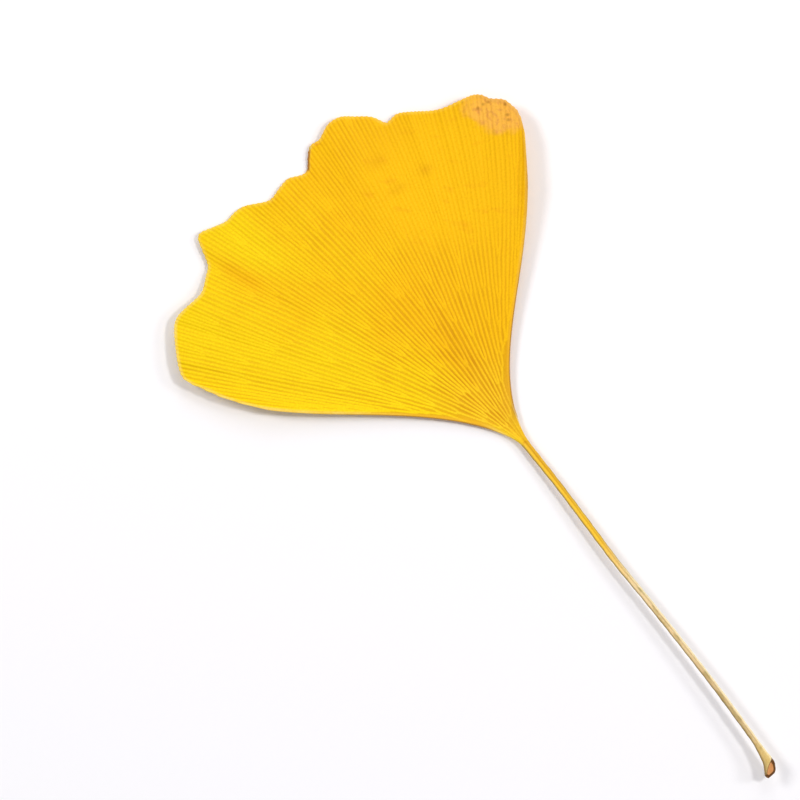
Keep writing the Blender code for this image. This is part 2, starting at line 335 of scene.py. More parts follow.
def smooth_through(points, per_span):
    """Points along a Catmull-Rom curve through the given ones, with per_span steps between each two."""
    keys = np.array(points, float)
    padded = np.vstack([2 * keys[0] - keys[1], keys, 2 * keys[-1] - keys[-2]])
    found = []
    for i in range(1, len(padded) - 2):
        before, start, end, after = padded[i - 1 : i + 3]
        for step in range(per_span):
            t = step / per_span
            found.append(
                0.5 * (
                    2 * start
                    + (end - before) * t
                    + (2 * before - 5 * start + 4 * end - after) * t**2
                    + (3 * start - before - 3 * end + after) * t**3
                )
            )
    found.append(keys[-1])
    return np.array(found)


def smooth_step(value):
    clipped = np.clip(value, 0.0, 1.0)
    return clipped * clipped * (3.0 - 2.0 * clipped)


MARGIN_CURVE = smooth_through(OUTER_MARGIN, 8)
MARGIN_DIRECTIONS = np.maximum.accumulate(MARGIN_CURVE[:, 0])
BASE_WIDTH = 2 * STALK[1][3]


def margin_distance(direction):
    """Distance from the junction to the outer margin in these directions."""
    return np.interp(direction, MARGIN_DIRECTIONS, MARGIN_CURVE[:, 1])


def vein_direction(across):
    """Direction of the vein at each share of the way across the fan."""
    eased = across - SIDE_BUNCHING / (2 * math.pi) * np.sin(2 * math.pi * across)
    return LEFT_ANGLE + (RIGHT_ANGLE - LEFT_ANGLE) * eased


def blade_plan(across, along):
    """X and Y of the blade's points in plan, from the junction."""
    direction = vein_direction(across)
    angle = np.radians(direction)
    reach = margin_distance(direction)
    start_x = -BASE_WIDTH / 2 * np.cos(math.pi * across)
    chord_x, chord_y = reach * np.sin(angle) - start_x, reach * np.cos(angle)
    left = LEFT_BOW * along**LEFT_RISE * (1 - along) ** LEFT_FALL
    right = RIGHT_BOW * along**RIGHT_RISE * (1 - along) ** RIGHT_FALL
    bow = (1 - across) * left - across * right
    return start_x + chord_x * along + chord_y * bow, chord_y * along - chord_x * bow


def curl_height(across, along):
    """Height of the curled sheet, as in the solid leaf, before it is let down onto the surface."""
    direction = vein_direction(across)
    side = 2 * (direction - LEFT_ANGLE) / (RIGHT_ANGLE - LEFT_ANGLE) - 1
    side_lift = np.where(side < 0, LEFT_SIDE_LIFT, RIGHT_SIDE_LIFT)
    height = BASE_LIFT * (1 - along) ** 2 + TIP_LIFT * along**TIP_CURL
    height = height + side_lift * np.abs(side) ** SIDE_CURL * along**SIDE_CURL_ALONG
    wave = WAVE_HEIGHT * np.sin(2 * math.pi * (direction * WAVES_PER_DEGREE + WAVE_START))
    for centre, half_width, lift in FOLDS:
        wave = wave + lift * np.exp(-(((direction - centre) / half_width) ** 2))
    for cycles, crease, phase in CREASES:
        wave = wave + crease * np.sin(2 * math.pi * cycles * across + phase)
    return height + wave * along**WAVE_CURL


def lowest_curl():
    across, along = np.meshgrid(np.linspace(0.0, 1.0, 129), np.linspace(0.1, 1.0, 91))
    return float(curl_height(across, along).min())


class Sheet:
    """The middle of the blade's thickness as a surface, in millimetres from the junction."""

    def __init__(self, shape):
        self.thickness = shape.thickness / MM
        self.ground = lowest_curl() + REST_DEPTH
        self.lowest = self.thickness / 2 + shape.ridge_height / MM
        self.junction_rise = STALK[1][2] - float(curl_height(0.5, 0.0)) - self.thickness / 2

    def height(self, across, along):
        """Height over the surface, pressed smoothly flat where the leaf rests."""
        free = curl_height(across, along) - self.ground + self.thickness / 2
        free = free + self.junction_rise * np.exp(-((along / RIDGE_RUN_OUT) ** 2))
        over = free - self.lowest
        return self.lowest + (over + np.sqrt(over * over + REST_SOFTNESS)) / 2


def in_frame(x, y, z):
    """Points measured from the junction, in millimetres, as places in the frame, in metres."""
    return np.stack(np.broadcast_arrays((x - REST_X) * MM, (y - REST_Y) * MM, z * MM), axis=-1)


def groove(across):
    """How far the stalk's upper face stands out, as a share, with the groove in the middle."""
    return 1.0 - GROOVE_DEPTH * np.exp(-(((across - 0.5) / GROOVE_HALF_WIDTH) ** 2))


def slant(first_x, first_y, second_x, second_y):
    """Sine of the angle between directions in plan."""
    cross = first_x * second_y - first_y * second_x
    lengths = np.hypot(first_x, first_y) * np.hypot(second_x, second_y)
    return np.abs(cross) / np.maximum(lengths, 1e-9)


def side_gap(x, y, along):
    """Distance of each point in a row from the nearer side margin, in millimetres."""
    steps = np.hypot(np.diff(x), np.diff(y))
    from_left = np.concatenate([[0.0], np.cumsum(steps)])
    from_right = from_left[-1] - from_left
    ends = np.array([0.0, 1.0])
    low_x, low_y = blade_plan(ends, max(along - SIDE_STEP, 0.0))
    high_x, high_y = blade_plan(ends, min(along + SIDE_STEP, 1.0))
    row_x, row_y = np.array([x[1] - x[0], x[-1] - x[-2]]), np.array([y[1] - y[0], y[-1] - y[-2]])
    left, right = slant(row_x, row_y, high_x - low_x, high_y - low_y)
    return np.minimum(from_left * left, from_right * right)


def outer_gap(across, along):
    """Distance of each point in a row from the outer margin, in millimetres."""
    end_x, end_y = blade_plan(across, 1.0)
    in_x, in_y = blade_plan(across, 1.0 - OUTER_STEP)
    straight = slant(np.gradient(end_x), np.gradient(end_y), end_x - in_x, end_y - in_y)
    return (1.0 - along) * margin_distance(vein_direction(across)) * straight


def rim_share(gap):
    """Share of the full thickness at this distance from a rounded margin."""
    inward = np.clip(1.0 - gap / MARGIN_ROUNDING, 0.0, 1.0)
    return MARGIN_THINNING + (1.0 - MARGIN_THINNING) * np.sqrt(1.0 - inward * inward)


def blade_shade_and_tone(x, y):
    """Painted light (up to 1) and shade (down to -1) of creases and folds, partly the blade's own tone, at
    these points.
    """
    tone = np.zeros_like(x)
    for direction, distance, reach_along, reach_across, lighter in SHADES_AND_TONES:
        angle = math.radians(direction)
        outward = x * math.sin(angle) + y * math.cos(angle) - distance
        sideways = x * math.cos(angle) - y * math.sin(angle)
        tone += lighter * np.exp(-((outward / reach_along) ** 2) - (sideways / reach_across) ** 2)
    return np.clip(tone, -1.0, 1.0)


def both_faces(values):
    """Values of a ring's upper points from left to right, then the same for the lower ones back."""
    return np.concatenate([values, values[::-1]])


def as_ring(points, **values):
    """A closed ring's points with its values, each given for every point or as one number for all."""
    return {"points": points, **{name: np.broadcast_to(value, len(points)) for name, value in values.items()}}


def blade_ring(sheet, columns, along):
    """One closed ring round the blade: its upper points from left to right, then the lower ones back."""
    across = np.linspace(0.0, 1.0, columns + 1)
    x, y = blade_plan(across, along)
    middle = sheet.height(across, along)
    side, outer = side_gap(x, y, along), outer_gap(across, along)
    gap = np.minimum(side, outer)
    half = sheet.thickness / 2 * rim_share(gap)
    arch = np.sin(math.pi * across)
    stalk_half = BASE_WIDTH / 2
    ridge = stalk_half * arch * groove(across)
    up = half + (ridge - half) * math.exp(-((along / RIDGE_RUN_OUT) ** RUN_OUT_POWER))
    keel = stalk_half * arch ** (1.0 + KEEL_NARROWING * along)
    down = half + (keel - half) * math.exp(-((along / KEEL_RUN_OUT) ** RUN_OUT_POWER))
    thin = LEAST_HEIGHT * stalk_half
    top = in_frame(x, y, middle + np.maximum(up, thin))
    bottom = in_frame(x, y, middle - np.maximum(down, thin))
    return as_ring(
        np.vstack([top, bottom[::-1]]), across=both_faces(across), along=along, side_edge=both_faces(side),
        outer_edge=both_faces(outer), tone=both_faces(blade_shade_and_tone(x, y)), scar=0.0,
    )


def stalk_stations():
    """Evenly spaced stations from the scar to the junction: middle, half width, distance down the stalk."""
    fine = smooth_through(STALK, 40)
    fine = fine[fine[:, 0] <= 0.0]
    middle = np.stack([fine[:, 1], fine[:, 0], fine[:, 2]], axis=1)
    run = np.concatenate([[0.0], np.cumsum(np.linalg.norm(np.diff(middle, axis=0), axis=1))])
    count = int(run[-1] / STALK_RING_SPACING)
    wanted = np.linspace(run[-1], 0.0, count + 1)
    columns = [np.interp(wanted, run, values) for values in (*middle.T, fine[:, 3])]
    return np.stack(columns[:3], axis=1), columns[3], wanted


def scar_shade(across, shade):
    """Shade of the upper half of a ring: its dark rim is only on the right."""
    if shade > ALL_FACE:
        return np.full_like(across, shade)
    right = smooth_step((across - RIM_START) / RIM_RISE)
    return shade * right + (FACE_SHADE if shade > LEFT_FACE else 0.0) * (1.0 - right)


def stalk_ring(sheet, middle, tangent, half_width, run, share=1.0, stand_out=0.0, scar=0.0):
    """One closed ring round the stalk, drawn out towards its end as the scar is."""
    across = np.linspace(0.0, 1.0, COLUMNS[0][0] + 1)
    lateral = -np.cos(math.pi * across)
    arch = np.maximum(np.sin(math.pi * across), LEAST_HEIGHT)
    side = np.array([tangent[1], -tangent[0], 0.0])
    side /= -np.linalg.norm(side)
    upward = np.cross(tangent, side)
    upward *= np.sign(upward[2])
    wobble = 1.0 + sum(part * math.sin(run * turns + phase) for part, turns, phase in STALK_WOBBLE)
    drawn = smooth_step(1.0 - (STALK_LENGTH - run) / SCAR_RUN)
    rows = []
    for sideways, vertical, reach in (
        (lateral, arch * (groove(across) * (1.0 - drawn) + drawn), SCAR_UPPER),
        (lateral[::-1], -STALK_UNDERSIDE * arch[::-1], SCAR_LOWER),
    ):
        lean = share * np.interp(sideways, *np.transpose(reach))
        offset = share * half_width * wobble * (sideways[:, None] * side + vertical[:, None] * upward)
        offset += (drawn * lean + stand_out)[:, None] * tangent
        rows.append(middle + offset)
    x, y, z = np.vstack(rows).T
    return as_ring(
        in_frame(x, y, z - sheet.ground), across=both_faces(across), along=-run / STALK_LENGTH,
        side_edge=STALK_GAPS[0], outer_edge=STALK_GAPS[1], tone=0.0,
        scar=np.concatenate([scar_shade(across, scar), np.full_like(across, scar)]),
    )


def stalk_rings(sheet):
    """All rings from the middle of the scar to just before the junction."""
    middles, half_widths, runs = stalk_stations()
    tangents = -np.gradient(middles, axis=0)
    tangents /= np.linalg.norm(tangents, axis=1)[:, None]
    end = (sheet, middles[0], tangents[0], half_widths[0], STALK_LENGTH)
    rings = [
        stalk_ring(*end, share=share, stand_out=stand_out, scar=shade)
        for share, stand_out, shade in reversed(SCAR_RINGS)
    ]
    for middle, tangent, half_width, run in list(zip(middles, tangents, half_widths, runs))[:-1]:
        shade = RIM_SHADE * max(0.0, 1.0 - (runs[0] - run) / RIM_FADE)
        run_to_end = STALK_LENGTH - (runs[0] - run)
        rings.append(stalk_ring(sheet, middle, tangent, half_width, run_to_end, scar=shade))
    return rings


def ring_shares():
    """Each ring of the blade as (columns, share of the way to the margin)."""
    shares, along = [], 0.0
    for limit, step in RING_STEPS:
        count = round((limit - along) / step)
        shares += list(np.linspace(along, limit, count, endpoint=False))
        along = limit
    shares += LAST_RINGS
    return [([c for c, start in COLUMNS if share >= start - 1e-9][-1], share) for share in shares]


def join_rings(inner, outer, first_inner, first_outer):
    """Faces between two closed rings, where the outer one has as many columns or twice as many."""
    columns = len(inner) // 2 - 1
    doubled = len(outer) > len(inner)
    step = 2 if doubled else 1
    faces = []
    for face in (0, 1):
        low_inner = first_inner + face * (columns + 1)
        low_outer = first_outer + face * (columns * step + 1)
        for i in range(columns):
            a, b = low_inner + i, low_inner + i + 1
            left = low_outer + step * i
            right = left + step
            if doubled:
                faces += [(a, left + 1, left), (a, b, left + 1), (b, right, left + 1)]
            else:
                faces.append((a, b, right, left))
        next_inner = first_inner + (columns + 1 if face == 0 else 0)
        next_outer = first_outer + (columns * step + 1 if face == 0 else 0)
        faces.append((low_inner + columns, next_inner, next_outer, low_outer + columns * step))
    return faces


def leaf_mesh(sheet):
    """The whole leaf as one closed mesh, with its ring values as attributes."""
    rings = stalk_rings(sheet) + [blade_ring(sheet, columns, along) for columns, along in ring_shares()]
    sizes = [len(ring["points"]) for ring in rings]
    firsts = np.concatenate([[0], np.cumsum(sizes)]).tolist()
    faces = [tuple(range(sizes[0]))[::-1]]
    for i in range(len(rings) - 1):
        faces += join_rings(rings[i]["points"], rings[i + 1]["points"], firsts[i], firsts[i + 1])
    last, columns = firsts[-2], sizes[-1] // 2 - 1
    back = last + 2 * columns + 1
    faces += [(last + i, last + i + 1, back - i - 1, back - i) for i in range(columns)]
    mesh = bpy.data.meshes.new(LEAF)
    mesh.from_pydata(np.vstack([ring["points"] for ring in rings]).tolist(), [], faces)
    for name in ("across", "along", "side_edge", "outer_edge", "tone", "scar"):
        layer = mesh.attributes.new(name, "FLOAT", "POINT")
        layer.data.foreach_set("value", np.concatenate([ring[name] for ring in rings]).astype(np.float32))
    turned = bmesh.new()
    turned.from_mesh(mesh)
    bmesh.ops.recalc_face_normals(turned, faces=turned.faces)
    turned.to_mesh(mesh)
    turned.free()
    mesh.shade_smooth()
    return mesh


def strip_width(across, along):
    """Width of blade, square to the veins, for each share across the fan, in millimetres."""
    step = 0.002
    inside = np.clip(across, step, 1.0 - step)
    here = min(max(along, step), 1.0 - step)
    x0, y0 = blade_plan(inside - step, here)
    x1, y1 = blade_plan(inside + step, here)
    x2, y2 = blade_plan(inside, here - step)
    x3, y3 = blade_plan(inside, here + step)
    run = np.hypot(x3 - x2, y3 - y2)
    return np.abs((x1 - x0) * (y3 - y2) - (y1 - y0) * (x3 - x2)) / run / (2 * step)


def bend(places, along):
    """How far veins move away from the nearer side margin in one step, as shares of the fan."""
    left = np.clip(1.0 - places / LEFT_BEND[1], 0.0, 1.0)
    right = np.clip(1.0 - (1.0 - places) / RIGHT_BEND[1], 0.0, 1.0)
    slope = math.tan(LEFT_BEND[0]) * left - math.tan(RIGHT_BEND[0]) * right
    strength = smooth_step((along - BEND_START) / BEND_RISE)
    strength *= 1.0 - BEND_EASING * smooth_step((along - BEND_END) / BEND_FALL)
    run = VEIN_STEP * margin_distance(vein_direction(places))
    return slope * run * strength / strip_width(places, along)


def neighbour_gaps(places, along):
    """Distance from the left margin to the first vein, from each to the next, and to the right margin."""
    walled = np.concatenate([[0.0], places, [1.0]])
    return np.diff(walled) * strip_width((walled[1:] + walled[:-1]) / 2, along)


def fork_width(spacing, places, along):
    """Width of blade that a vein serves when it forks: least at the base and at the left margin."""
    crowding = 1.0 - BASE_CROWDING * (1.0 - smooth_step(along / CROWDED_TO))
    narrowing = FORK_NARROWING * along * (1.0 - NARROWING_GONE * places)
    return spacing * crowding * (FORK_WIDTH - narrowing)


def forking_veins(shape):
    """Each vein as a list of (across, along): it forks where it serves too wide a strip."""
    draw = np.random.default_rng(shape.seed)
    spacing = shape.vein_spacing / MM
    places = np.array(FIRST_VEINS)
    lines = [[(place, 0.0)] for place in FIRST_VEINS]
    grown = list(lines)
    tolerance, last_fork = [1.0] * len(lines), [-1.0] * len(lines)
    for along in np.arange(VEIN_STEP, 1.0 + VEIN_STEP / 2, VEIN_STEP):
        places = places + bend(places, along)
        gaps = neighbour_gaps(places, along)
        places = places + EVENING * np.diff(gaps) / strip_width(places, along)
        served = (gaps[1:] + gaps[:-1]) / 2
        limit = fork_width(spacing, places, along)
        for i in reversed(range(len(places))):
            lines[i].append((places[i], along))
            if served[i] < limit[i] * tolerance[i] or along - last_fork[i] < LEAST_RUN:
                continue
            branch = [(places[i], along)]
            apart = FORK_GAP / strip_width(places[i : i + 1], along)[0]
            places = np.insert(places, i + 1, places[i] + apart)
            places[i] -= apart
            lines.insert(i + 1, branch)
            grown.append(branch)
            tolerance[i] = draw.uniform(*FORK_TOLERANCE)
            last_fork[i] = along
            tolerance.insert(i + 1, draw.uniform(*FORK_TOLERANCE))
            last_fork.insert(i + 1, along)
        for wall, gap, start in ((0.0, gaps[0], MARGIN_START), (1.0, gaps[-1], 1.0 - MARGIN_START)):
            if gap < MARGIN_STRIP * fork_width(spacing, wall, along):
                continue
            end = 0 if wall < 0.5 else len(places)
            places = np.insert(places, end, start)
            lines.insert(end, [(start, along)])
            grown.append(lines[end])
            tolerance.insert(end, 1.0)
            last_fork.insert(end, along)
    return [np.array(line).T for line in grown]


def add_object(name, data):
    """A new object in the scene."""
    item = bpy.data.objects.new(name, data)
    bpy.context.scene.collection.objects.link(item)
    return item


def vein_lines(shape):
    """The veins' plan as an object of loose edges."""
    points, edges = [], []
    for across, along in forking_veins(shape):
        on_blade = (across > -VEIN_OVERSHOOT) & (across < 1.0 + VEIN_OVERSHOOT)
        if on_blade.sum() < 2:
            continue
        across, along = across[on_blade], along[on_blade]
        x, y = blade_plan(across, along)
        first = len(points)
        points += in_frame(x, y, np.zeros_like(x)).tolist()
        edges += [(first + i, first + i + 1) for i in range(len(across) - 1)]
    mesh = bpy.data.meshes.new("vein_lines")
    mesh.from_pydata(points, edges, [])
    return add_object("vein_lines", mesh)


def add_node(tree, kind, inputs=(), **settings):
    """A node with its settings, and with values or links for its inputs, given as (name or number, value)."""
    node = tree.nodes.new(kind)
    for name, value in settings.items():
        setattr(node, name, value)
    for key, value in inputs:
        if isinstance(value, bpy.types.NodeSocket):
            tree.links.new(value, node.inputs[key])
        else:
            node.inputs[key].default_value = value
    return node


def arithmetic(tree, operation, first, second, clamp=False):
    return add_node(
        tree, "ShaderNodeMath", [(0, first), (1, second)], operation=operation, use_clamp=clamp
    ).outputs[0]


def map_range(tree, value, low, high, to_low=0.0, to_high=1.0, easing="SMOOTHSTEP"):
    bounds = [("From Min", low), ("From Max", high), ("To Min", to_low), ("To Max", to_high)]
    return add_node(
        tree, "ShaderNodeMapRange", [("Value", value), *bounds], interpolation_type=easing
    ).outputs["Result"]


def times(tree, *factors):
    """The product of numbers, links and map ranges, which are given as (value, bounds)."""
    found = [map_range(tree, *factor) if isinstance(factor, tuple) else factor for factor in factors]
    product = found[0]
    for value in found[1:]:
        product = arithmetic(tree, "MULTIPLY", product, value)
    return product


def flattened(tree, position):
    """Coordinates without the height, so that veins and marks go straight through the blade."""
    return add_node(
        tree, "ShaderNodeVectorMath", [(0, position), (1, (1.0, 1.0, 0.0))], operation="MULTIPLY"
    ).outputs["Vector"]


def vein_relief_tree():
    """Node tree that raises a surface along the nearest line, and keeps the height as an attribute."""
    tree = bpy.data.node_groups.new("vein_relief", "GeometryNodeTree")
    for name, direction, kind in RELIEF_SOCKETS:
        tree.interface.new_socket(name=name, in_out=direction, socket_type=f"NodeSocket{kind}")
    given = add_node(tree, "NodeGroupInput").outputs
    lines = add_node(
        tree, "GeometryNodeObjectInfo", [("Object", given["Vein Lines"])], transform_space="RELATIVE"
    )
    plan = flattened(tree, add_node(tree, "GeometryNodeInputPosition").outputs["Position"])
    nearest = add_node(
        tree, "GeometryNodeProximity", [(0, lines.outputs["Geometry"]), ("Sample Position", plan)],
        target_element="EDGES",
    )
    along = add_node(
        tree, "GeometryNodeInputNamedAttribute", [("Name", "along")], data_type="FLOAT"
    ).outputs["Attribute"]
    widening = map_range(tree, along, 0.0, NARROW_TO, NARROWEST, 1.0, "LINEAR")
    half_width = times(tree, given["Vein Half Width"], widening)
    share = arithmetic(tree, "DIVIDE", nearest.outputs["Distance"], half_width, clamp=True)
    ridge = arithmetic(tree, "SUBTRACT", 1.0, arithmetic(tree, "POWER", share, 2.0))
    relief = times(tree, ridge, (along, *VEIN_START))
    normal = add_node(tree, "GeometryNodeInputNormal").outputs["Normal"]
    offset = add_node(
        tree, "ShaderNodeVectorMath", [(0, normal), ("Scale", times(tree, relief, given["Vein Height"]))],
        operation="SCALE",
    )
    geometry = given["Geometry"]
    on_points = {"data_type": "FLOAT", "domain": "POINT"}
    for kind, inputs, settings in (
        ("SetPosition", [("Offset", offset.outputs["Vector"])], {}),
        ("StoreNamedAttribute", [("Name", "vein"), ("Value", relief)], on_points),
        ("RealizeInstances", [], {}),
        ("SetMaterial", [("Material", given["Finish"])], {}),
    ):
        inputs = [("Geometry", geometry), *inputs]
        geometry = add_node(tree, f"GeometryNode{kind}", inputs, **settings).outputs["Geometry"]
    add_node(tree, "NodeGroupOutput", [("Geometry", geometry)])
    return tree


def set_inputs(modifier, values):
    """Set a node modifier's inputs, given by name, by the identifiers of their sockets."""
    for item in modifier.node_group.interface.items_tree:
        if item.item_type == "SOCKET" and item.in_out == "INPUT" and item.name in values:
            modifier[item.identifier] = values[item.name]


def bake_modifiers(piece):
    """Make what the modifiers give the object's own mesh."""
    bpy.context.view_layer.update()
    depsgraph = bpy.context.evaluated_depsgraph_get()
    evaluated = piece.evaluated_get(depsgraph)
    mesh = bpy.data.meshes.new_from_object(evaluated, preserve_all_data_layers=True, depsgraph=depsgraph)
    piece.modifiers.clear()
    piece.data = mesh
    mesh.name = piece.name


def attributes(tree, *names):
    return [add_node(tree, "ShaderNodeAttribute", attribute_name=name).outputs["Fac"] for name in names]


def mix(tree, share, first, second):
    """A colour between two, where share is a number or a link."""
    node = add_node(tree, "ShaderNodeMix", data_type="RGBA")
    for number, value in ((0, share), (6, first), (7, second)):
        if isinstance(value, bpy.types.NodeSocket):
            tree.links.new(value, node.inputs[number])
        elif number:
            node.inputs[number].default_value = (*value[:3], 1.0)
        else:
            node.inputs[number].default_value = value
    return node.outputs[2]


def paint(tree, colour, *coats):
    """A colour with others laid over it in turn, each given as (colour, factors of its share)."""
    for coat, *factors in coats:
        colour = mix(tree, times(tree, *factors), colour, coat)
    return colour


def noise(tree, vector, scale, detail=2.0, roughness=0.5):
    inputs = [("Vector", vector), ("Scale", scale), ("Detail", detail), ("Roughness", roughness)]
    return add_node(tree, "ShaderNodeTexNoise", inputs).outputs["Fac"]


def streaks(tree, vector, scale, detail=2.0, turn=0.0):
    """Noise with a scale for each axis, after a turn about the third."""
    for name, value in (("Rotation", (0.0, 0.0, turn)), ("Scale", scale)):
        vector = add_node(tree, "ShaderNodeMapping", [("Vector", vector), (name, value)]).outputs["Vector"]
    return noise(tree, vector, 1.0, detail)


def at(place):
    """A place in the frame, given in millimetres, on the surface."""
    return (place[0] * MM, place[1] * MM, 0.0)


def place_spot(tree, position, place):
    """A number that is 1 in the middle of a place and 0 at its edge."""
    centre, reach = place
    radii = (reach[0] * MM, reach[1] * MM, 1.0)
    turn = (0.0, 0.0, PICTURE_TURN)
    inputs = [("Vector", position), ("Location", at(centre)), ("Rotation", turn), ("Scale", radii)]
    inner = add_node(tree, "ShaderNodeMapping", inputs, vector_type="TEXTURE").outputs["Vector"]
    return add_node(
        tree, "ShaderNodeTexGradient", [("Vector", inner)], gradient_type="SPHERICAL"
    ).outputs["Fac"]


def vein_position(tree):
    """Coordinates that are drawn out along the veins: across, along, nothing."""
    across, along = attributes(tree, "across", "along")
    return add_node(tree, "ShaderNodeCombineXYZ", [("X", across), ("Y", along)]).outputs["Vector"]


def groove_shade_depth(tree, position, drawn_out):
    """How strongly the grooves between the veins are darkened: their ochre colour with painted shade."""
    across, along, side = attributes(tree, "across", "along", "side_edge")
    calm = place_spot(tree, position, CALM_PLACE)
    streak = streaks(tree, drawn_out, (60.0, 14.0, 1.0))
    return times(
        tree, (along, 0.15, 0.72, 0.86, 0.44), (across, 0.06, 0.2, 1.9, 1.0), (across, 0.6, 0.9, 1.0, 0.7),
        (calm, 0.0, 0.5, 1.0, 0.12), (side, 0.1, 0.5, 0.35, 1.0), (streak, 0.3, 0.7, 0.7, 1.15),
    )


def blade_colour(tree, colours, position, drawn_out):
    """Lemon on the left to amber on the right, ochre with painted shade between the veins, painted light and
    shade of creases and folds, and mottled.
    """
    across, along, tone, vein = attributes(tree, "across", "along", "tone", "vein")
    broad = noise(tree, position, 60.0, 3.0)
    ramp = arithmetic(tree, "ADD", across, map_range(tree, broad, 0.25, 0.75, -0.1, 0.1))
    # Painted light and shade also shift the colour between lemon and amber
    ramp = arithmetic(tree, "SUBTRACT", ramp, times(tree, tone, 0.3))
    veins = paint(
        tree, colours.lemon,
        (colours.amber, (ramp, 0.16, 0.62)),
        (colours.crest, (along, 0.35, 0.02, 0.0, 0.8)),
        (colours.groove, (along, 0.2, 0.03), (across, 0.25, 0.6, 0.0, 0.25)),
    )
    broken = streaks(tree, drawn_out, (240.0, 20.0, 1.0))
    vein = arithmetic(tree, "ADD", vein, map_range(tree, broken, 0.3, 0.7, -0.16, 0.14))
    groove_colour_and_shade = mix(tree, map_range(tree, ramp, 0.1, 0.45), colours.pale_groove, colours.groove)
    flecks = streaks(tree, position, (220.0, 420.0, 1.0), turn=-PICTURE_TURN)
    calm = place_spot(tree, position, CALM_PLACE)
    return paint(
        tree, veins,
        # Grooves between the veins: their ochre colour, darkened further as painted shade
        (groove_colour_and_shade, (vein, 0.65, 0.05), groove_shade_depth(tree, position, drawn_out)),
        # Painted shade where the creases and folds are darker
        (colours.groove, (tone, 0.0, -1.0, 0.0, 0.3)),
        (colours.smudge, (flecks, 0.56, 0.75, 0.0, 0.4), (calm, 0.0, 0.4, 0.1, 1.0)),
    )


def with_rims(tree, colours, position, colour):
    """Margins: a pale rolled line with a painted highlight, painted highlights beside the stalk, a dark line
    at the very edge of the sides that is partly browned and partly painted shade of the curled underside, and
    a darker line in one notch.
    """
    across, along, side, outer = attributes(tree, "across", "along", "side_edge", "outer_edge")
    left = map_range(tree, across, 0.5, 0.1)
    uneven = noise(tree, position, 420.0, 3.0)
    # How strongly the rolled margins show their painted highlight: uneven, and stronger on the left
    strength = times(tree, (uneven, 0.3, 0.7, 0.45, 1.0), (left, 0.0, 1.0, 0.3, 0.85))
    far_out = map_range(tree, along, 0.35, 0.75)
    inner = arithmetic(tree, "SUBTRACT", 1.0, times(tree, far_out, left))
    highlight_by_stalk = map_range(tree, along, 0.14, 0.05, 0.0, 0.5)
    notch = place_spot(tree, position, DARK_NOTCH)
    return paint(
        tree, colour,
        (colours.side_band, (side, 0.75, 0.3, 0.0, 0.6), (along, 0.06, 0.18), inner),
        # Painted highlight on the rolled side margins, with their paler colour
        (colours.rim, (side, 0.75, 0.2), strength, far_out),
        # Painted highlight on the rolled outer margin, with its paler colour
        (colours.rim, (outer, 0.7, 0.15), strength),
        # Dark line at the very edge of the side margins: browned, and painted shade of the curled underside
        (colours.browned_rim_and_shade, (side, 0.3, 0.12, 0.0, 0.75), (along, 0.05, 0.12), (along, 0.5, 0.9, 1.0, 0.3)),
        # Painted highlights on the left and right margins beside the stalk
        (colours.rim, highlight_by_stalk, (across, 0.22, 0.08), 1.5),
        (colours.stalk_highlight, highlight_by_stalk, (across, 0.9, 0.96)),
        # Darker line along one notch of the outer margin
        (colours.browned_rim_and_shade, (notch, 0.0, 0.4), (outer, 0.5, 0.2)),
    )


def with_marks(tree, colours, position, drawn_out, colour):
    """Dead patch with its smudges and specks, and two small marks by the notch."""
    outer = attributes(tree, "outer_edge")[0]
    ragged = map_range(tree, noise(tree, position, 500.0, 4.0), 0.2, 0.8, -0.12, 0.12)
    large, small = [place_spot(tree, position, place) for place in DEAD_PATCHES]
    about = arithmetic(tree, "MAXIMUM", large, small)
    patch = arithmetic(tree, "ADD", about, ragged)
    smudges = streaks(tree, drawn_out, (80.0, 56.0, 1.0), 3.0)
    dark = map_range(tree, smudges, 0.46, 0.7, 0.0, 0.7)
    rim = map_range(tree, outer, 1.0, 0.2, 0.0, 0.65)
    tissue = mix(tree, arithmetic(tree, "MAXIMUM", dark, rim), colours.dead, colours.dead_dark)
    cells = add_node(tree, "ShaderNodeTexVoronoi", [("Vector", position), ("Scale", 760.0)]).outputs
    near = times(tree, (outer, 5.5, 1.5, 0.35, 1.0), (about, 0.0, 0.15))
    olive, orange = [place_spot(tree, position, place) for place in (OLIVE_MARK, ORANGE_MARK)]
    return paint(
        tree, colour,
        (tissue, (patch, 0.06, 0.42, 0.0, 0.95), (large, 0.0, 0.3, 0.6, 1.0), (about, 0.0, 0.15)),
        (colours.speck, (cells["Distance"], 0.38, 0.05), (cells["Color"], 0.45, 0.6), near, 0.6),
        (colours.stalk_olive, (olive, 0.1, 0.6), 0.7),
        (colours.smudge, (orange, 0.1, 0.6), 0.6),
    )


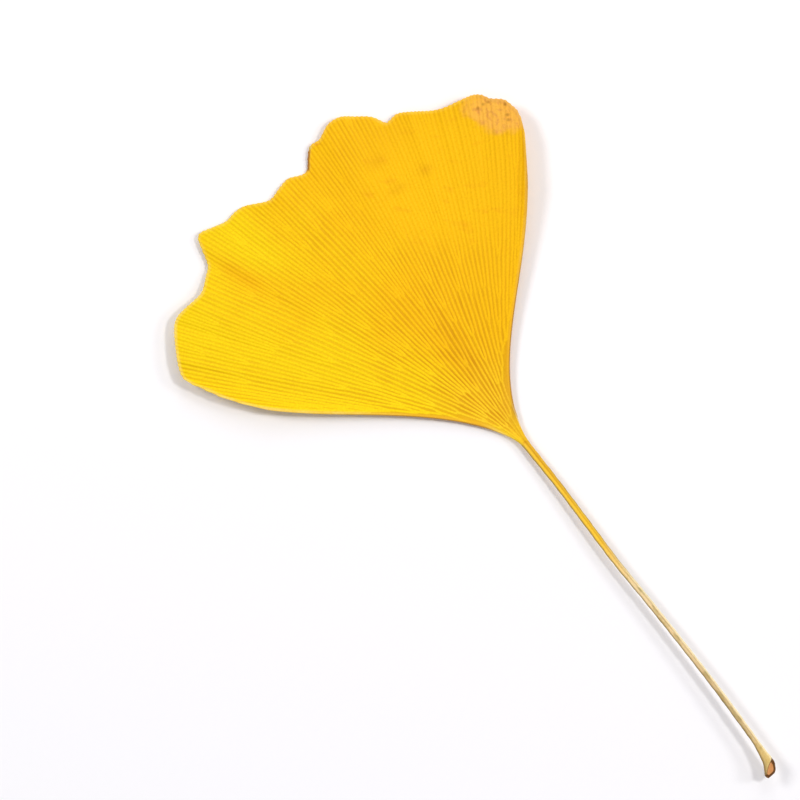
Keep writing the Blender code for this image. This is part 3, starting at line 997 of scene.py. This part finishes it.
def stalk_colour(tree, colours, drawn_out):
    """Yellow at the blade, pale at the far end with olive and tan patches, with a painted highlight on the
    right flank and painted shade on the left.
    """
    across, along, scar = attributes(tree, "across", "along", "scar")
    fibres = streaks(tree, drawn_out, (12.0, 16.0, 1.0), 3.0)
    olive = streaks(tree, drawn_out, (1.6, 24.0, 1.0))
    tan = streaks(tree, drawn_out, (2.2, 31.0, 5.0), turn=0.4)
    far = map_range(tree, along, -0.3, -0.47)
    near = paint(
        tree, colours.stalk_yellow,
        (colours.crest, (fibres, 0.4, 0.7)),
        (colours.groove, (across, 0.4, 0.55), (along, -0.3, -0.05, 0.15, 0.5)),
    )
    pale = paint(
        tree, colours.stalk_pale,
        (colours.stalk_olive, (olive, 0.5, 0.62, 0.0, 0.8)),
        (colours.stalk_tan, (tan, 0.5, 0.64, 0.0, 0.6)),
    )
    # Painted highlight along the right flank of the far half, and at the right edge
    lit = times(tree, (across, 0.62, 0.8), (across, 0.97, 0.88), far, 0.75)
    right_edge_highlight = times(tree, (across, 0.84, 0.93, 0.0, 0.55), (along, -0.3, -0.48))
    shade = colours.stalk_shade
    face = mix(tree, map_range(tree, fibres, 0.4, 0.7, 0.0, 0.5), colours.scar, colours.stalk_tan)
    return paint(
        tree, near,
        (pale, far),
        (colours.stalk_olive, (fibres, 0.5, 0.75, 0.0, 0.25)),
        (colours.stalk_gold, (along, -0.9, -0.97, 0.0, 0.65)),
        (colours.stalk_highlight, arithmetic(tree, "MAXIMUM", lit, right_edge_highlight)),
        # Darker line along the right edge of the near half, in the painted-shade colour
        (shade, (across, 0.66, 0.86, 0.0, 0.6), (along, -0.05, -0.16), (along, -0.5, -0.36)),
        # Painted shade on the left flank
        (shade, (across, 0.4, 0.14), (along, -0.3, -0.97, 0.7, 0.85)),
        # Painted shade reaching towards the middle of the far half, weaker at the very end
        (shade, (across, 0.68, 0.42), (along, -0.52, -0.82, 0.0, 0.4), (along, -0.97, -0.89, 0.4, 1.0)),
        (colours.scar_rim, (scar, 0.08, 0.25)),
        (face, (scar, 0.45, 0.7)),
    )


def new_material(name, specular):
    """A plain material with its shader."""
    material = bpy.data.materials.new(name)
    material.use_nodes = True
    shader = material.node_tree.nodes["Principled BSDF"]
    shader.inputs["Specular IOR Level"].default_value = specular
    return material, shader


def leaf_finish(colours):
    """The dry, faintly waxy finish of the whole leaf, with painted highlights and shade on its margins,
    grooves, creases and stalk.
    """
    material, shader = new_material("dried_leaf_finish", 0.12)
    tree = material.node_tree
    position = flattened(tree, add_node(tree, "ShaderNodeTexCoord").outputs["Object"])
    drawn_out = vein_position(tree)
    blade = blade_colour(tree, colours, position, drawn_out)
    blade = with_marks(tree, colours, position, drawn_out, blade)
    blade = with_rims(tree, colours, position, blade)
    stalk = stalk_colour(tree, colours, drawn_out)
    along = attributes(tree, "along")[0]
    mottle = noise(tree, position, 2800.0, 2.0, 0.6)
    colour = paint(
        tree, stalk, (blade, (along, -0.012, 0.012)), (colours.groove, (mottle, 0.38, 0.68, 0.0, 0.2))
    )
    tree.links.new(colour, shader.inputs["Base Color"])
    tree.links.new(map_range(tree, mottle, 0.2, 0.8, 0.5, 0.72), shader.inputs["Roughness"])
    grain = add_node(
        tree, "ShaderNodeBump", [("Height", mottle), ("Strength", 0.35), ("Distance", 0.00004)]
    )
    tree.links.new(grain.outputs["Normal"], shader.inputs["Normal"])
    return material


def floor_finish(colours):
    material, shader = new_material("pale_floor", 0.1)
    tree = material.node_tree
    position = add_node(tree, "ShaderNodeTexCoord").outputs["Object"]
    fibre = noise(tree, position, 900.0, 3.0)
    base = tuple(0.985 * value for value in colours)
    tree.links.new(mix(tree, fibre, base, tuple(colours)), shader.inputs["Base Color"])
    shader.inputs["Roughness"].default_value = 0.9
    return material


class GrowLeaf(bpy.types.Operator):
    """Grow the thin blade and its stalk as one mesh, with the veins raised on both faces"""

    bl_idname = "leaf.grow"
    bl_label = "Grow leaf"

    def execute(self, context):
        shape = context.scene.leaf_shape
        leaf = add_object(LEAF, leaf_mesh(Sheet(shape)))
        lines = vein_lines(shape)
        modifier = leaf.modifiers.new("Vein relief", "NODES")
        modifier.node_group = vein_relief_tree()
        set_inputs(modifier, {
            "Vein Lines": lines,
            "Vein Height": shape.ridge_height,
            "Vein Half Width": shape.ridge_half_width,
            "Finish": leaf_finish(context.scene.leaf_colours),
        })
        bake_modifiers(leaf)
        bpy.data.objects.remove(lines)
        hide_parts(NODE)
        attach(leaf, "root")
        return {"FINISHED"}


def add_floor(stage):
    bpy.ops.mesh.primitive_plane_add(size=stage.floor_size)
    floor = bpy.context.object
    floor.name = "floor"
    floor.data.materials.append(floor_finish(stage.floor_colour))


def add_soft_light(name, direction, elevation, size, power):
    """A square soft light that shines at the leaf from a direction in the picture."""
    data = bpy.data.lights.new(name, "AREA")
    data.size = size
    data.energy = power
    light = add_object(name, data)
    flat = (Matrix.Rotation(PICTURE_TURN, 3, "Z") @ Vector((*direction, 0.0))).normalized()
    angle = math.radians(elevation)
    towards = flat * math.cos(angle) + Vector((0.0, 0.0, math.sin(angle)))
    light.location = Vector(at(VIEW_CENTRE)) + towards * LIGHT_DISTANCE * MM
    light.rotation_euler = towards.to_track_quat("Z", "Y").to_euler()


def add_sky(strength, tint):
    world = bpy.data.worlds.new("even_light")
    world.use_nodes = True
    background = world.node_tree.nodes["Background"]
    background.inputs["Color"].default_value = (*tint, 1.0)
    background.inputs["Strength"].default_value = strength
    bpy.context.scene.world = world


def add_camera(stage):
    """A camera straight above the leaf, turned so that the stalk points down and to the right."""
    data = bpy.data.cameras.new("camera")
    data.sensor_width = 36.0
    data.lens = data.sensor_width * stage.camera_height / stage.view_width
    camera = add_object("camera", data)
    camera.location = (*at(VIEW_CENTRE)[:2], stage.camera_height)
    camera.rotation_euler = (0.0, 0.0, PICTURE_TURN)
    bpy.context.scene.camera = camera


class SetStage(bpy.types.Operator):
    """Lay the pale floor and set the soft lights and the camera"""

    bl_idname = "leaf.set_stage"
    bl_label = "Set stage"

    def execute(self, context):
        stage = context.scene.leaf_stage
        add_floor(stage)
        for name, direction, elevation, larger in LIGHTS:
            add_soft_light(name, direction, elevation, larger * stage.light_size, getattr(stage, name))
        add_sky(stage.sky, stage.sky_colour)
        add_camera(stage)
        context.scene.view_settings.view_transform = "Standard"
        return {"FINISHED"}


class LeafPanel(bpy.types.Panel):
    """Steps and settings of the leaf."""

    bl_idname = "VIEW3D_PT_leaf"
    bl_label = "Ginkgo leaf"
    bl_space_type = "VIEW_3D"
    bl_region_type = "UI"
    bl_category = "Leaf"

    def draw(self, context):
        scene = context.scene
        for operator, settings in (
            (GrowLeaf, (scene.leaf_shape, scene.leaf_colours)),
            (SetStage, (scene.leaf_stage,)),
        ):
            box = self.layout.box()
            box.operator(operator.bl_idname)
            for group in settings:
                for name in group.__annotations__:
                    box.prop(group, name)


CLASSES = (LeafShape, LeafColours, LeafStage, GrowLeaf, SetStage, LeafPanel)
SETTINGS = (("leaf_shape", LeafShape), ("leaf_colours", LeafColours), ("leaf_stage", LeafStage))


def register():
    for item in CLASSES:
        bpy.utils.register_class(item)
    for name, group in SETTINGS:
        setattr(bpy.types.Scene, name, PointerProperty(type=group))


def unregister():
    for name, _group in SETTINGS:
        delattr(bpy.types.Scene, name)
    for item in reversed(CLASSES):
        bpy.utils.unregister_class(item)


def main():
    register()
    bpy.ops.leaf.grow()
    bpy.ops.leaf.set_stage()


if __name__ == "__main__":
    main()
